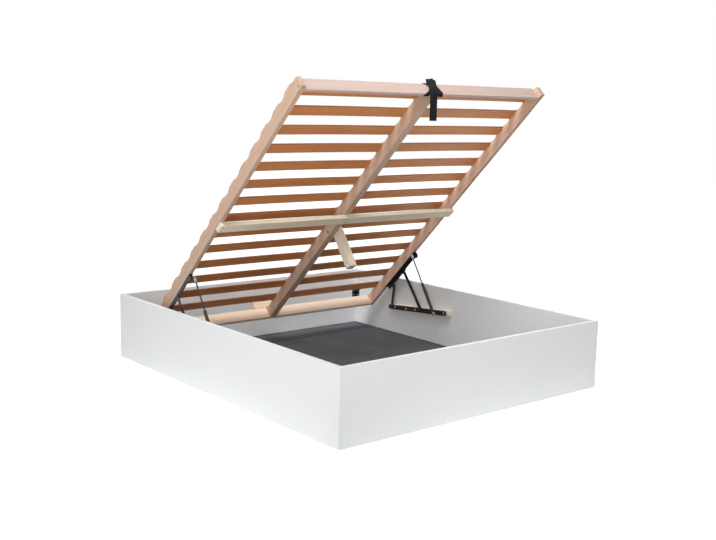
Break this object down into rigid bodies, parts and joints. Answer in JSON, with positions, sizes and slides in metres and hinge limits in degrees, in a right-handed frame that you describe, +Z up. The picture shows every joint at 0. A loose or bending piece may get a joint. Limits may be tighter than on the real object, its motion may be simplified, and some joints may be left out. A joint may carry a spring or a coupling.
{
  "type": "ottoman storage bed",
  "caption": "Double storage bed: white box base with a slatted timber lid held raised by side linkages and gas struts over the cloth-lined storage space.",
  "frame": {"origin": "middle of the box base at floor level, with the lid raised", "axes": "+X right along the slats, +Y towards the head end, where the lift linkages are, +Z up"},
  "size_m": [1.73, 1.98, 1.57],
  "materials": {
    "white_board": "white foil-faced board, satin",
    "dark_cloth": "dark grey non-woven cloth",
    "black_steel": "black painted steel, satin",
    "bright_steel": "zinc-plated steel",
    "beech": "pinkish beech, clear lacquer",
    "slat_veneer": "orange-brown laminated slats, satin",
    "grey_timber": "planed timber, greyish",
    "pale_timber": "pale planed timber",
    "black_webbing": "black woven webbing",
    "glide_plastic": "pale green moulded pad"
  },
  "bodies": {
    "box_base": {"panel_foot": "white_board", "panel_head": "white_board", "panel_left": "white_board", "panel_right": "white_board", "floor_cloth": "dark_cloth", "corner_bracket_foot": "black_steel", "corner_bracket_head": "black_steel", "spacer_block_left": "beech", "spacer_block_right": "beech", "base_bar_left": "black_steel", "base_bar_right": "black_steel"},
    "rear_arm_left": {"rear_arm_left": "black_steel"},
    "front_arm_left": {"front_arm_left": "black_steel"},
    "strut_cylinder_left": {"strut_cylinder_left": "black_steel"},
    "strut_rod_left": {"strut_rod_left": "black_steel"},
    "rear_arm_right": {"rear_arm_right": "black_steel"},
    "front_arm_right": {"front_arm_right": "black_steel"},
    "strut_cylinder_right": {"strut_cylinder_right": "black_steel"},
    "strut_rod_right": {"strut_rod_right": "black_steel"},
    "lift_frame": {"side_rail_left": "beech", "side_rail_right": "beech", "centre_rail": "beech", "foot_rail": "beech", "head_rail": "pale_timber", "head_block": "pale_timber", "crossbar": "grey_timber", "slat_left_01": "slat_veneer", "slat_left_02": "slat_veneer", "slat_left_03": "slat_veneer", "slat_left_04": "slat_veneer", "slat_left_05": "slat_veneer", "slat_left_06": "slat_veneer", "slat_left_07": "slat_veneer", "slat_left_08": "slat_veneer", "slat_left_09": "slat_veneer", "slat_left_10": "slat_veneer", "slat_left_11": "slat_veneer", "slat_left_12": "slat_veneer", "slat_left_13": "slat_veneer", "slat_left_14": "slat_veneer", "slat_right_01": "slat_veneer", "slat_right_02": "slat_veneer", "slat_right_03": "slat_veneer", "slat_right_04": "slat_veneer", "slat_right_05": "slat_veneer", "slat_right_06": "slat_veneer", "slat_right_07": "slat_veneer", "slat_right_08": "slat_veneer", "slat_right_09": "slat_veneer", "slat_right_10": "slat_veneer", "slat_right_11": "slat_veneer", "slat_right_12": "slat_veneer", "slat_right_13": "slat_veneer", "slat_right_14": "slat_veneer", "lid_bracket_left": "black_steel", "lid_bracket_right": "black_steel", "leg_bolt": "bright_steel", "pull_strap": "black_webbing"},
    "support_leg": {"support_leg": "pale_timber", "leg_glide": "glide_plastic"}
  },
  "joints": [
    {"name": "lid_hinge", "type": "hinge", "parent": "rear_arm_left", "child": "lift_frame", "pos_m": [-0.8065, 0.54862, 0.31856], "axis": [1, 0, 0], "range_deg": [0, 139.01]},
    {"name": "rear_arm_left_hinge", "type": "hinge", "parent": "box_base", "child": "rear_arm_left", "pos_m": [-0.8065, 0.564, 0.181], "axis": [1, 0, 0], "range_deg": [-93.82, 0]},
    {"name": "front_arm_left_hinge", "type": "hinge", "parent": "box_base", "child": "front_arm_left", "pos_m": [-0.8027, 0.298, 0.21], "axis": [1, 0, 0], "range_deg": [-55.51, 0]},
    {"name": "strut_cylinder_left_hinge", "type": "hinge", "parent": "box_base", "child": "strut_cylinder_left", "pos_m": [-0.7655, 0.141, 0.208], "axis": [1, 0, 0], "range_deg": [-60.22, 0]},
    {"name": "strut_rod_left_slide", "type": "slide", "parent": "strut_cylinder_left", "child": "strut_rod_left", "axis": [0, 0.5335, 0.8458], "range_m": [-0.121, 0]},
    {"name": "rear_arm_right_hinge", "type": "hinge", "parent": "box_base", "child": "rear_arm_right", "pos_m": [0.8065, 0.564, 0.181], "axis": [1, 0, 0], "range_deg": [-93.82, 0]},
    {"name": "front_arm_right_hinge", "type": "hinge", "parent": "box_base", "child": "front_arm_right", "pos_m": [0.8027, 0.298, 0.21], "axis": [1, 0, 0], "range_deg": [-55.51, 0]},
    {"name": "strut_cylinder_right_hinge", "type": "hinge", "parent": "box_base", "child": "strut_cylinder_right", "pos_m": [0.7655, 0.141, 0.208], "axis": [1, 0, 0], "range_deg": [-60.22, 0]},
    {"name": "strut_rod_right_slide", "type": "slide", "parent": "strut_cylinder_right", "child": "strut_rod_right", "axis": [0, 0.5335, 0.8458], "range_m": [-0.121, 0]},
    {"name": "support_leg_hinge", "type": "hinge", "parent": "lift_frame", "child": "support_leg", "pos_m": [0.0455, 0.18414, 0.75072], "axis": [1, 0, 0], "range_deg": [-10.6, 34.6]}
  ],
  "couplings": [
    {"joint": "rear_arm_left_hinge", "follows": "lid_hinge", "ratio": -0.67457},
    {"joint": "front_arm_left_hinge", "follows": "lid_hinge", "ratio": -0.39893},
    {"joint": "strut_cylinder_left_hinge", "follows": "lid_hinge", "ratio": -0.43286},
    {"joint": "strut_rod_left_slide", "follows": "lid_hinge", "m_per_rad": -0.049741},
    {"joint": "rear_arm_right_hinge", "follows": "lid_hinge", "ratio": -0.67457},
    {"joint": "front_arm_right_hinge", "follows": "lid_hinge", "ratio": -0.39893},
    {"joint": "strut_cylinder_right_hinge", "follows": "lid_hinge", "ratio": -0.43286},
    {"joint": "strut_rod_right_slide", "follows": "lid_hinge", "m_per_rad": -0.049741}
  ]
}
